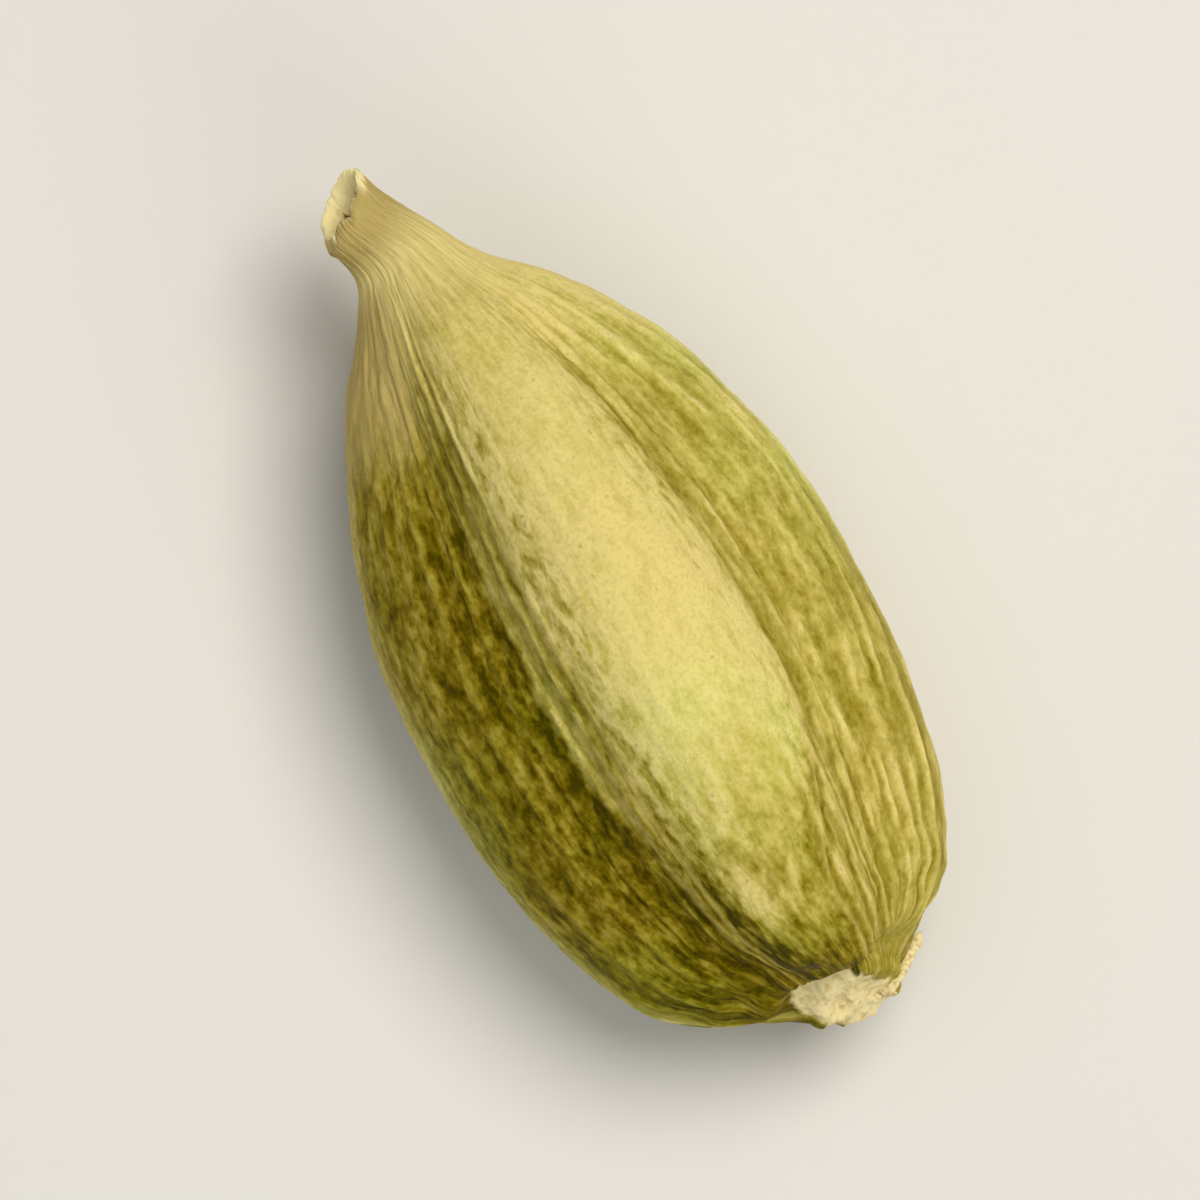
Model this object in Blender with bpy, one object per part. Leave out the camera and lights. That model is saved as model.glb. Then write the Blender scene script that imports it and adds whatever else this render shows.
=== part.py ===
# Green cardamom pod, dried: one closed husk that lies on its side.
# The long axis is X, with the beak towards -X and the stalk stub towards +X.
# One lobe points up, and the face between the other two rests on a small flat spot at z = 0.

import math
import random

import bmesh
import bpy
from mathutils import Vector
from mathutils.geometry import interpolate_bezier

MM = 0.001

# Outline from beak to stalk: distance from the beak's rim and mean radius, in millimetres.
# It starts on the floor of the flower tube's hollow and ends in the middle of the stalk scar.
HOLLOW = ((1.05, 0.0), (0.95, 0.24), (0.50, 0.34), (0.10, 0.50))
BEAK = ((0.0, 0.62), (0.14, 0.72), (0.50, 0.68), (0.95, 0.74), (1.52, 0.93))
HUSK = (
    (2.48, 1.46), (3.44, 2.16), (5.36, 3.11), (7.28, 3.76), (9.20, 4.13), (11.10, 4.20),
    (13.00, 4.08), (15.00, 3.68), (16.80, 2.97), (17.62, 2.20), (18.02, 1.56),
)
STALK = ((18.22, 1.16), (18.40, 0.96), (18.62, 0.88), (18.66, 0.74), (18.56, 0.0))
POD_LENGTH = 18.66 * MM
BELLY_RADIUS = 4.20 * MM
NECK_RADIUS = 0.66 * MM
RING_SPACING = 0.42 * MM

# Lobes: how far they swell out, and the furrows between them draw in, measured along the outward normal.
# The top lobe leans a little to one side and is narrower than the other two.
LOBE_COUNT = 3
LOBE_SWELL = 0.58 * MM
CREST_BREADTH = 0.12
TOP_LOBE_LEAN = math.radians(7)
TOP_LOBE_PINCH = math.radians(25)
FULL_LOBES_AT_BEAK = 4.0 * MM
FULL_LOBES_AT_STALK = 3.6 * MM

# Two of the faces between the lobes are fuller than the third: the one that the pod rests on, which is worn
# level where it touches, and the one on the +Y side of the top lobe.
REST_FACE_FILL = 0.38 * MM
REST_FACE_REACH = math.radians(45)
FLAT_CUT = 0.07 * MM
SIDE_FACE_FILL = 0.36 * MM
SIDE_FACE_ANGLE = math.radians(68)
SIDE_FACE_REACH = math.radians(50)

# The husk's middle line wanders a little sideways, and its beak hooks back and rises.
# A reach or a span is a share of the pod's length, counted from the beak.
SIDE_BOW = 0.32 * MM
TIP_HOOK = 0.42 * MM
HOOK_LENGTH = 1.8 * MM
STALK_SHIFT = 0.30 * MM
STALK_SHIFT_SPAN = (0.86, 0.98)
BEAK_RISE = 0.45 * MM
BEAK_RISE_REACH = 0.45

# The flower tube's mouth and the stalk scar aren't square to the pod: how far a point moves along the pod
# for each millimetre that it lies to the side of the middle line or above it.
MOUTH_LEAN_SIDE = 0.65
MOUTH_LEAN_UP = 0.45
MOUTH_LEAN_LENGTH = 2.2 * MM
SCAR_LEAN_UP = 0.60
STUB_FOOT = 1.9 * MM
STUB_NECK = 1.0 * MM

# Lengthwise ribs. Each has a crest and two feet, with a flat strip between one rib and the next.
RIB_COUNT = 32
RIB_HEIGHT = 0.15 * MM
RIB_HEIGHT_SPREAD = (0.5, 1.0)
RIB_TURNS = (0.6, 1.6)
CREST_RIB_SHARE = 0.25
RIB_FOOT = 0.27
RIB_JITTER = 0.2
RIB_WANDER = 0.09
RIB_SEED = 11
RIBS_START = 0.8 * MM
RIBS_FULL = 2.4 * MM

HUSK_COLOUR = (0.47, 0.42, 0.10, 1.0)
HUSK_ROUGHNESS = 0.6


def clear_scene():
    for obj in list(bpy.data.objects):
        bpy.data.objects.remove(obj, do_unlink=True)


def smooth_step(low, high, value):
    share = min(max((value - low) / (high - low), 0.0), 1.0)
    return share * share * (3.0 - 2.0 * share)


# Rings of the husk

def direction_at(points, i):
    before = points[max(i - 1, 0)]
    after = points[min(i + 1, len(points) - 1)]
    return (after - before) / ((after - points[i]).length + (points[i] - before).length)


def smooth_line(points, spacing):
    line = [points[0]]
    for i in range(len(points) - 1):
        start, end = points[i], points[i + 1]
        length = (end - start).length
        handle_out = start + direction_at(points, i) * length / 3
        handle_in = end - direction_at(points, i + 1) * length / 3
        steps = max(1, round(length / spacing))
        line += interpolate_bezier(start, handle_out, handle_in, end, steps + 1)[1:]
    return line


def husk_outline():
    corners = [Vector((station * MM, radius * MM)) for station, radius in HOLLOW + BEAK + HUSK + STALK]
    return smooth_line(corners, RING_SPACING)


def outward_normal(outline, i):
    along = direction_at(outline, i)
    return Vector((-along.y, along.x))


def middle_line(station):
    share = station / POD_LENGTH
    side = SIDE_BOW * math.cos(math.pi * share) + STALK_SHIFT * smooth_step(*STALK_SHIFT_SPAN, share)
    side -= TIP_HOOK * (1 - smooth_step(0, HOOK_LENGTH, station))
    rise = BEAK_RISE * (1 - smooth_step(0, BEAK_RISE_REACH, share))
    return side, rise


def end_lean(place, across, up):
    """How far a point moves along the pod at its ends, which are cut askew."""
    station, radius = place
    at_beak = 1 - smooth_step(0, MOUTH_LEAN_LENGTH, station)
    at_stalk = smooth_step(STUB_FOOT, STUB_NECK, radius) if station > POD_LENGTH / 2 else 0
    return at_beak * (MOUTH_LEAN_UP * up - MOUTH_LEAN_SIDE * across) - at_stalk * SCAR_LEAN_UP * up


# Lobes and ribs

def lobe_share(station, radius):
    full = FULL_LOBES_AT_BEAK if station < POD_LENGTH / 2 else FULL_LOBES_AT_STALK
    return smooth_step(NECK_RADIUS, full, radius)


def lobe_wave(angle):
    """About 1 on the crest of a lobe and -1 in a furrow: the crests are broad and the furrows narrow."""
    around = angle - TOP_LOBE_LEAN * (1 + math.cos(angle)) / 2
    around += TOP_LOBE_PINCH * math.sin(around) * (1 + math.cos(around)) / 2
    return math.cos(LOBE_COUNT * around) - CREST_BREADTH * math.cos(2 * LOBE_COUNT * around)


def face_fill(angle, middle, reach, fill):
    return fill * (1 - smooth_step(0, reach, abs(math.remainder(angle - middle, 2 * math.pi))))


def lobe_swell(angle):
    swell = LOBE_SWELL * lobe_wave(angle)
    swell += face_fill(angle, math.pi, REST_FACE_REACH, REST_FACE_FILL)
    return swell + face_fill(angle, SIDE_FACE_ANGLE, SIDE_FACE_REACH, SIDE_FACE_FILL)


def rib_layout():
    draw = random.Random(RIB_SEED)
    ribs = []
    for i in range(RIB_COUNT):
        angle = (i + draw.uniform(-RIB_JITTER, RIB_JITTER)) * 2 * math.pi / RIB_COUNT
        in_furrow = (1 - lobe_wave(angle)) / 2
        height = RIB_HEIGHT * (CREST_RIB_SHARE + (1 - CREST_RIB_SHARE) * in_furrow)
        height *= draw.uniform(*RIB_HEIGHT_SPREAD)
        turns = draw.uniform(*RIB_TURNS)
        phase = draw.uniform(0, 2 * math.pi)
        ribs.append((angle, height, turns, phase))
    return ribs


def rib_angle(rib, share):
    angle, _, turns, phase = rib
    return angle + RIB_WANDER * math.sin(2 * math.pi * turns * share + phase) * 2 * math.pi / RIB_COUNT


def ring_columns(ribs, share):
    """Angle and rib height of each point of a ring: crest, foot, foot, next crest and so on."""
    crests = [rib_angle(rib, share) for rib in ribs]
    crests.append(crests[0] + 2 * math.pi)
    columns = []
    for i, rib in enumerate(ribs):
        gap = crests[i + 1] - crests[i]
        columns.append((crests[i], rib[1]))
        columns.append((crests[i] + RIB_FOOT * gap, 0.0))
        columns.append((crests[i + 1] - RIB_FOOT * gap, 0.0))
    return columns


def rest_height():
    """Height of the middle line at the belly, whose underside is cut level by FLAT_CUT."""
    return BELLY_RADIUS + lobe_swell(math.pi) - FLAT_CUT


def husk_point(place, normal, angle, rib_height):
    station, radius = place
    swell = lobe_swell(angle) * lobe_share(station, radius)
    swell += rib_height * smooth_step(RIBS_START, RIBS_FULL, radius)
    side, rise = middle_line(station)
    reach = radius + swell * normal.y
    across, up = reach * math.sin(angle), reach * math.cos(angle)
    x = station + swell * normal.x + end_lean(place, across, up) - POD_LENGTH / 2
    z = rest_height() + rise + up
    return Vector((x, side + across, max(z, 0.0)))


# The pod

def add_ring(bm, place, normal, ribs):
    share = place.x / POD_LENGTH
    columns = ring_columns(ribs, share)
    return [bm.verts.new(husk_point(place, normal, angle, height)) for angle, height in columns]


def join_rings(bm, ring, next_ring):
    count = len(ring)
    for i in range(count):
        j = (i + 1) % count
        bm.faces.new((ring[i], ring[j], next_ring[j], next_ring[i]))


def close_end(bm, ring, place):
    side, rise = middle_line(place.x)
    middle = bm.verts.new((place.x - POD_LENGTH / 2, side, rest_height() + rise))
    for i, vertex in enumerate(ring):
        bm.faces.new((ring[(i + 1) % len(ring)], vertex, middle))


def centre_over_origin(bm):
    across = [[vertex.co[axis] for vertex in bm.verts] for axis in (0, 1)]
    middle = [(min(places) + max(places)) / 2 for places in across]
    bmesh.ops.translate(bm, verts=bm.verts, vec=(-middle[0], -middle[1], 0.0))


def make_material():
    material = bpy.data.materials.new("dried_husk")
    material.use_nodes = True
    shader = material.node_tree.nodes["Principled BSDF"]
    shader.inputs["Base Color"].default_value = HUSK_COLOUR
    shader.inputs["Roughness"].default_value = HUSK_ROUGHNESS
    shader.inputs["Metallic"].default_value = 0.0
    return material


def make_pod():
    bm = bmesh.new()
    outline = husk_outline()
    ribs = rib_layout()
    rings = []
    for i in range(1, len(outline) - 1):
        rings.append(add_ring(bm, outline[i], outward_normal(outline, i), ribs))
    for ring, next_ring in zip(rings, rings[1:]):
        join_rings(bm, ring, next_ring)
    close_end(bm, rings[0], outline[0])
    close_end(bm, rings[-1], outline[-1])
    bmesh.ops.recalc_face_normals(bm, faces=bm.faces)
    centre_over_origin(bm)
    mesh = bpy.data.meshes.new("cardamom_pod")
    bm.to_mesh(mesh)
    bm.free()
    mesh.shade_smooth()
    mesh.materials.append(make_material())
    pod = bpy.data.objects.new("cardamom_pod", mesh)
    bpy.context.collection.objects.link(pod)
    return pod


clear_scene()
make_pod()
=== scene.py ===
import math
import random
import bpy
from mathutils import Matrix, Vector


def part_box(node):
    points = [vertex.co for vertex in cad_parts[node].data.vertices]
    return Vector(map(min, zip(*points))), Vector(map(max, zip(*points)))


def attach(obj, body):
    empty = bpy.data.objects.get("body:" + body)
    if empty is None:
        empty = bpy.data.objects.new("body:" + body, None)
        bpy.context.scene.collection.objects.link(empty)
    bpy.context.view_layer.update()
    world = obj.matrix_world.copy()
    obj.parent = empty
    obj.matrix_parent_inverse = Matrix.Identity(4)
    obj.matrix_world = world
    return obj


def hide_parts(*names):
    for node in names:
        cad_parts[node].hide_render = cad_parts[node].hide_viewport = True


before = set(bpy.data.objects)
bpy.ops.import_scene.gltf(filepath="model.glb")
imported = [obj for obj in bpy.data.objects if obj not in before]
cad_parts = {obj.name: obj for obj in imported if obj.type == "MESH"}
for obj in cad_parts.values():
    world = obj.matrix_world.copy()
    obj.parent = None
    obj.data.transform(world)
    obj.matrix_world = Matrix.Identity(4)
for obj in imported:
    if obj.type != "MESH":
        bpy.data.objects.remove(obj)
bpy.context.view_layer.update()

from types import SimpleNamespace

import bpy
from mathutils import Matrix, Vector, noise
from mathutils.geometry import interpolate_bezier

# one dried green cardamom pod lying on its side, seen from above
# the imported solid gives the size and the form; the husk is modelled again here, finer, with its finish

mm = 0.001
huskNode = "cardamom_pod"
huskLow, huskHigh = [Vector(corner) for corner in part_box(huskNode)]


def deselectAll():
    if bpy.context.object and bpy.context.object.mode != "OBJECT":
        bpy.ops.object.mode_set(mode="OBJECT")
    bpy.ops.object.select_all(action="DESELECT")


def smoothStep(low, high, value):
    share = min(max((value - low) / (high - low), 0.0), 1.0)
    return share * share * (3 - 2 * share)


def mix(a, b, share):
    return a + (b - a) * share


# the husk: its outline is drawn, spun round the long axis, smoothed, then shaped like clay

husk = {
    # distance from the beak's rim and radius, in mm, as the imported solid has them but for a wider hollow
    "hollow": ((1.05, 0.0), (0.97, 0.26), (0.50, 0.41), (0.10, 0.53)),
    "beak": ((0.0, 0.62), (0.14, 0.72), (0.50, 0.68), (0.95, 0.74), (1.52, 0.93)),
    "belly": ((2.48, 1.46), (3.44, 2.16), (5.36, 3.11), (7.28, 3.76), (9.20, 4.13), (11.10, 4.20),
              (13.00, 4.08), (15.00, 3.68), (16.80, 2.97), (17.62, 2.20), (18.02, 1.56)),
    "stalk": ((18.22, 1.16), (18.40, 0.96), (18.62, 0.88), (18.66, 0.74), (18.56, 0.0)),
    "length": 18.66,
    "bellyRadius": 4.20,
    "neckRadius": 0.66,
    "outlineSpacing": 0.45,     # between drawn points, before smoothing
    "spinSteps": 112,
    "smoothLevels": 2,          # levels of smoothing after the spin; the husk has to stay under 200,000 triangles
    # three lobes, the top one leaning to one side and narrower
    "lobes": 3,
    "lobeSwell": 0.58,
    "crestBreadth": 0.12,
    "topLobeLean": math.radians(7),
    "topLobePinch": math.radians(25),
    "fullLobesAtBeak": 4.0,
    "fullLobesAtStalk": 3.6,
    # two faces between the lobes are fuller: middle, reach and fill in mm
    "restFace": (math.pi, math.radians(45), 0.38),
    "sideFace": (math.radians(68), math.radians(50), 0.36),
    "flatCut": 0.07,
    # how the middle line wanders; a span is a share of the length
    "sideBow": 0.32,
    "tipHook": 0.42,
    "hookLength": 1.8,
    "stalkShift": 0.30,
    "stalkShiftSpan": (0.86, 0.98),
    "beakRise": 0.45,
    "beakRiseReach": 0.45,
    # the two ends are cut askew: mm along the pod for each mm to the side or up
    "mouthLeanSide": 0.65,
    "mouthLeanUp": 0.45,
    "mouthLeanLength": 2.2,
    "scarLeanUp": 0.60,
    "stubFoot": 1.9,
    "stubNeck": 1.0,
}

ribs = {
    "count": 32,
    "height": 0.15,             # mm, of the strongest
    "heightSpread": (0.5, 1.0),
    "turns": (0.6, 1.6),        # how often each strays to and fro along the pod
    "crestShare": 0.25,         # ribs on a lobe's crest are this much as high as those in a furrow
    "foot": 0.27,               # half a rib's width, as a share of the gap to the next
    "jitter": 0.2,              # unevenness of their angles, as a share of the gap
    "wander": 0.09,             # and how far they stray
    "seed": 11,
    "start": 0.8,               # mm of radius where they begin, and where they are full
    "full": 2.4,
    "stations": 400,            # places along the pod where their crests are worked out
}


def outlineTangent(points, i):
    before = points[max(i - 1, 0)]
    after = points[min(i + 1, len(points) - 1)]
    return (after - before) / ((after - points[i]).length + (points[i] - before).length)


def smoothOutline(points, spacing):
    line = [points[0]]
    for i in range(len(points) - 1):
        start, end = points[i], points[i + 1]
        length = (end - start).length
        handleOut = start + outlineTangent(points, i) * length / 3
        handleIn = end - outlineTangent(points, i + 1) * length / 3
        steps = max(1, round(length / spacing))
        line += interpolate_bezier(start, handleOut, handleIn, end, steps + 1)[1:]
    return line


def lobeWave(angle):
    # about 1 on the crest of a lobe, -1 in a furrow
    around = angle - husk["topLobeLean"] * (1 + math.cos(angle)) / 2
    around += husk["topLobePinch"] * math.sin(around) * (1 + math.cos(around)) / 2
    return math.cos(husk["lobes"] * around) - husk["crestBreadth"] * math.cos(2 * husk["lobes"] * around)


def lobeSwell(angle):
    swell = husk["lobeSwell"] * lobeWave(angle)
    for middle, reach, fill in (husk["restFace"], husk["sideFace"]):
        swell += fill * (1 - smoothStep(0, reach, abs(math.remainder(angle - middle, 2 * math.pi))))
    return swell


def lobeShare(station, radius):
    full = husk["fullLobesAtBeak"] if station < husk["length"] / 2 else husk["fullLobesAtStalk"]
    return smoothStep(husk["neckRadius"], full, radius)


def middleLine(station):
    share = station / husk["length"]
    side = husk["sideBow"] * math.cos(math.pi * share)
    side += husk["stalkShift"] * smoothStep(*husk["stalkShiftSpan"], share)
    side -= husk["tipHook"] * (1 - smoothStep(0, husk["hookLength"], station))
    rise = husk["beakRise"] * (1 - smoothStep(0, husk["beakRiseReach"], share))
    return side, rise


def endLean(station, radius, across, up):
    atBeak = 1 - smoothStep(0, husk["mouthLeanLength"], station)
    atStalk = smoothStep(husk["stubFoot"], husk["stubNeck"], radius) if station > husk["length"] / 2 else 0
    lean = atBeak * (husk["mouthLeanUp"] * up - husk["mouthLeanSide"] * across)
    return lean - atStalk * husk["scarLeanUp"] * up


def huskPoint(station, radius, angle, swell, outward, forward):
    # a point of the husk in mm: swell moves it along its normal, whose parts are outward and forward
    side, rise = middleLine(station)
    reach = radius + swell * outward
    across, up = reach * math.sin(angle), reach * math.cos(angle)
    x = station + swell * forward + endLean(station, radius, across, up) - husk["length"] / 2
    restHeight = husk["bellyRadius"] + lobeSwell(math.pi) - husk["flatCut"]
    return Vector((x, side + across, max(restHeight + rise + up, 0.0)))


def ribLayout():
    draw = random.Random(ribs["seed"])
    layout = []
    for i in range(ribs["count"]):
        angle = (i + draw.uniform(-ribs["jitter"], ribs["jitter"])) * 2 * math.pi / ribs["count"]
        inFurrow = (1 - lobeWave(angle)) / 2
        height = ribs["height"] * mix(ribs["crestShare"], 1, inFurrow) * draw.uniform(*ribs["heightSpread"])
        turns = draw.uniform(*ribs["turns"])
        phase = draw.uniform(0, 2 * math.pi)
        layout.append((angle, height, turns, phase))
    return layout


def ribCrests(layout, share):
    step = 2 * math.pi / ribs["count"]
    return [angle + ribs["wander"] * math.sin(2 * math.pi * turns * share + phase) * step
            for angle, _, turns, phase in layout]


def ribAt(layout, crests, angle):
    # height of the nearest rib, and how near its crest is: 1 on the crest, 0 at its foot
    best = (0.0, 0.0)
    nearest = round(angle / (2 * math.pi / ribs["count"]))
    for k in (nearest - 1, nearest, nearest + 1):
        i = k % ribs["count"]
        away = math.remainder(angle - crests[i], 2 * math.pi)
        neighbour = (i + (1 if away > 0 else -1)) % ribs["count"]
        gap = abs(math.remainder(crests[neighbour] - crests[i], 2 * math.pi))
        near = 1 - smoothStep(0, ribs["foot"] * gap, abs(away))
        if near > best[1]:
            best = (layout[i][1], near)
    return best


def drawAndSpin(name):
    corners = [Vector(point) for point in husk["hollow"] + husk["beak"] + husk["belly"] + husk["stalk"]]
    outline = [point * mm for point in smoothOutline(corners, husk["outlineSpacing"])]
    deselectAll()
    bpy.ops.mesh.primitive_plane_add(size=mm)
    piece = bpy.context.object
    piece.name = name
    bpy.ops.object.mode_set(mode="EDIT")
    bpy.ops.mesh.select_all(action="SELECT")
    bpy.ops.mesh.merge(type="CENTER")           # one vertex is left, the pencil that draws the outline
    bpy.ops.transform.translate(value=(outline[0].x, 0, outline[0].y))
    for before, after in zip(outline, outline[1:]):
        step = after - before
        bpy.ops.mesh.extrude_vertices_move(TRANSFORM_OT_translate={"value": (step.x, 0, step.y)})
    bpy.ops.object.mode_set(mode="OBJECT")
    # the spin tool starts its faces at other corners in each run, the screw modifier at the same ones
    spin = piece.modifiers.new("spin", "SCREW")
    spin.axis = "X"
    spin.steps = spin.render_steps = husk["spinSteps"]
    spin.use_merge_vertices = True
    spin.merge_threshold = 0.001 * mm
    bpy.ops.object.modifier_apply(modifier=spin.name)
    bpy.ops.object.mode_set(mode="EDIT")
    bpy.ops.mesh.select_all(action="SELECT")
    bpy.ops.mesh.normals_make_consistent(inside=False)
    bpy.ops.object.mode_set(mode="OBJECT")
    smoothing = piece.modifiers.new("smoothing", "SUBSURF")
    smoothing.levels = smoothing.render_levels = husk["smoothLevels"]
    bpy.ops.object.modifier_apply(modifier=smoothing.name)
    return piece


relief = {
    # heights and sizes in mm; a span is where something starts and is full, or where it fades and is gone
    "bodySpan": (0.85, 2.2),    # radius from which on the wall has its full relief
    "flankSpan": (-140, -115),  # degrees; the flank is the side between the left suture and the lobe below it
    "seamMargins": (4, 2),      # degrees that the top lobe and the flank keep off the sutures
    "ribSoftness": 0.5,         # the solid's ribs, less strict, and lower on the top lobe
    "ribBreaks": (0.8, 0.5),    # mean and swing of their height along them
    "ribsOnTop": 0.4,
    "dents": 0.07,              # broad unevenness of the dried wall, most of it inwards
    "dentSize": 3.4,
    "dentMean": 0.35,
    # fine ridges: how many around, how high, how far they stray (in ridges), and their share on top and on
    # the flank
    "threads": 60,
    "threadHeight": 0.045,
    "threadStray": 1.2,
    "threadConeSpan": (0.85, 3.4),      # radius, on the cone towards the beak
    "threadsOnTop": 0.35,
    "threadsOnFlank": 0.5,
    # grains, full on the flank, with their share elsewhere and what the top lobe still has of that
    "grainSize": 0.30,
    "grainHeight": 0.035,
    "grainsElsewhere": 0.35,
    "grainsOnTop": 0.25,
    # short cross wrinkles, strongest in the furrows
    "puckers": 0.03,
    "puckerSize": 0.45,
    "puckersOnCrests": 0.2,
    # the two sutures that bound the top lobe, in degrees from the top; each goes from one angle to the other
    # over a span of the length, and a fainter second one runs beside the left
    "leftSeam": (-17.5, -20.0),
    "leftSeamSpan": (0.45, 0.75),
    "secondSeam": -6.0,
    "rightSeam": (37.5, 17.0),
    "rightSeamSpan": (0.68, 0.88),
    "seamWobble": 1.0,
    "seamHeight": 0.05,
    "seamHalfWidth": 1.1,       # degrees
    "grooveDepth": 0.35,        # share of the height
    "grooveAway": 3.1,          # degrees outside a suture
    "grooveHalfWidth": 1.9,
    # the flower tube, fibrous outside, with a torn rim
    "tubeFibres": 0.022,
    "tubeSpan": (1.2, 2.6),
    "rimTear": 0.26,
    "rimSpan": (0.05, 0.62),
    # where the stalk broke off: middle and reach, across and up from the pod's middle line, and its slant
    "scarMiddle": (-0.22, 0.14),
    "scarReach": (0.78, 1.2),
    "scarSlant": 0.32,
    "scarRough": 0.13,
    "scarSpan": (1.0, 1.25),
    "scarPit": (-0.42, -0.1),
    "scarPitSpan": (0.1, 0.3),
    "scarPitDepth": 1.1,        # share of the roughness
    # round the scar the skin ends in a torn collar, and the shoulder is wrinkled
    "collar": 0.06,
    "collarSpan": (1.5, 2.3),
    "shoulderWrinkles": 0.12,
    "shoulderSpan": (1.1, 1.6, 2.2, 3.4),
}

wallTones = {
    # tone of the wall: 1 is straw, 0 green gold and -1 dark olive. Spans are shares of the length, arcs are
    # degrees from the top, and where one has four places, it starts, is full, starts to fade and is gone
    # there. A place is the middle and the half width, in degrees
    "top": 0.88,
    "topSpan": (0.10, 0.30, 0.58, 0.92),
    "topEnds": (0.3, -0.08),    # of the top lobe before and after that span
    "topEndsSpan": (0.2, 0.7),
    # painted shade: the top lobe is darker towards the left suture, where it turns away from the light
    "topDarkSide": -0.16,
    # beside the left suture a half dark band, painted lighter against the shade on the furrow's steep wall,
    # its width in degrees, then the darkest stripe, dark olive and painted shade in the valley, and the
    # flank, partly its own olive and partly painted shade
    "bandWidth": (14.5, 4.5),
    "bandWidthSpan": (0.64, 0.78),
    "band": (0.12, -0.1),
    "bandSpan": (0.62, 0.72),
    "stripe": -0.8,
    "outerFlank": 0.3,
    "outerFlankArc": (-66, -44),
    "leftShoulder": -0.35,
    "leftShoulderSpan": (0.27, 0.42),
    "leftCone": 0.4,
    "leftConeSpan": (0.15, 0.3),
    "leftPaintedRimLight": (0.9, 0.5),      # painted rim light: a pale band along the outline, and how much it varies
    "leftPaintedRimLightPlace": (-91, 14),
    "leftStart": (-150, -112),  # where the left side starts, in degrees
    "right": 0.04,
    "rightCone": 0.75,
    "rightConeSpan": (0.15, 0.38),
    # painted rim light along the right outline
    "rightPaintedRimLight": 0.35,
    "rightPaintedRimLightPlace": (90, 10),
    "rightEdge": (0.4, -0.05),
    "rightEdgeSpan": (0.45, 0.65),
    "rightEdgeArc": (62, 80, 98, 118),
    "underside": -0.2,
    "undersideArc": (118, 150),         # on either side
    "drift": 0.12,              # broad wandering of the tone
    # dark lines beside the sutures, painted shade in the grooves beside their raised crests: mean and how
    # much it varies, and their places counted from the suture
    "leftLine": (0.3, 0.5),
    "leftLinePlace": (-3.2, 2.2),
    "leftLineSpan": (0.28, 0.4),
    "rightLine": (0.3, 0.3),
    "rightLinePlace": (2.6, 2.4),
    "rightLineSpans": ((0.2, 0.25, 0.34, 0.42), (0.66, 0.74, 0.86, 0.92)),
    # darker towards the stalk, most of all round its scar, partly a duller colour and partly painted shade,
    # with one painted highlight
    "dullAndShade": 0.12,
    "dullAndShadeSpan": (0.76, 0.86),
    "scarDullAndShade": (0.25, 0.62),   # everywhere, and what the top lobe has on top of that
    "scarDullAndShadeSpan": (0.87, 0.96),
    # a painted highlight on the top lobe near the stalk
    "paintedHighlight": 0.9,
    "paintedHighlightPlace": ((-5, 10), (0.85, 0.04)),     # middle and reach, in degrees and in shares of the length
    "darkest": (-1.3, -0.8),
    "darkestSpan": (0.8, 0.9),
    # parts that dried less yellow
    "topGreen": 0.75,
    "topGreenSpan": (0.48, 0.66),
    "rightGreen": 0.9,
    "rightGreenSpan": (0.16, 0.34, 0.46, 0.66),
    "flankGreen": (-0.1, 0.42),
    "flankGreenSpan": (0.3, 0.5),
}

lineFinish = {
    # how much the finish shows of the fine lines: their crests are paler and their grooves darker
    "ribCrests": 0.7,           # against 1 for a fine ridge
    "crestsOnTop": 0.4,
    "crestsOnFlank": 0.65,
    "crestsOnRight": 0.8,       # this much more there, over a span of the length
    "crestsOnRightSpan": (0.55, 0.7),
    "grooves": 0.4,
    "groovesOnTopAndFlank": 0.3,
    "seamGrooves": 0.5,
    "mottleOnFlank": 0.55,
    # dark dashes on the top lobe's side of both sutures: degrees from the suture, and a span of the length
    "leftDashArc": (0, 2, 8, 15),
    "leftDashSpan": (0.2, 0.3),
    "rightDashes": 0.7,
    "rightDashArc": (-15, -9, -2, 0),
    "rightDashSpan": (0.28, 0.34, 0.46, 0.56),
    # borders between tones are ragged, by degrees and at a size in mm; a tone drifts at a larger one
    "ragged": ((3.2, 0.42), (1.6, 0.2)),
    "driftSize": 2.6,
}

beakFinish = {
    # where the beak's skin changes, as mm from the rim; ragged is how far noise moves the borders
    "drySpan": (1.2, 4.2),
    "dryFurther": 0.9,          # the dry skin reaches further down in this arc
    "dryArc": (-120, -95, -45, -25),
    "brownSpan": (1.2, 2.4, 3.0, 5.6),
    "brownArc": (-125, -90, -50, -20),
    # the darker tan of the neck is painted shade behind the rim
    "neckSpan": (0.7, 1.7),
    "ragged": (1.2, 2.4),
    # the torn rim shows cream: how deep inside the tube, and outside below and above
    "lipInside": 0.7,
    "lipOutside": (0.04, 0.42),
    # where painted light makes the rim's far side palest
    "palestSpan": (0.22, 0.36),
    "tubeRadius": 0.6,
    # how deep the painted shade inside the tube starts and is full
    "shadeSpan": (0.34, 0.62),
}

# what each vertex tells the finish: its tone and greenness, then how far it is each of these
huskShares = ("shade", "green", "calm", "crest", "seam", "groove", "granular", "speckled", "dry", "brown",
              "neck", "pale", "lip", "inside")


def fade(low, high, value):
    return 1 - smoothStep(low, high, value)


def window(span, value):
    starts, full, fades, gone = span
    return smoothStep(starts, full, value) * fade(fades, gone, value)


def ridge(away, halfWidth):
    return fade(0, halfWidth, abs(away))


def seamAngles(share, station):
    wobble = noise.noise(Vector((station * 0.7, 5, 1))) + 0.4 * noise.noise(Vector((station * 2.6, 1, 1)))
    wobble *= relief["seamWobble"]
    left = mix(*relief["leftSeam"], smoothStep(*relief["leftSeamSpan"], share))
    right = mix(*relief["rightSeam"], smoothStep(*relief["rightSeamSpan"], share))
    return left + wobble, left + relief["secondSeam"] + wobble * 0.6, right + wobble


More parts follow.
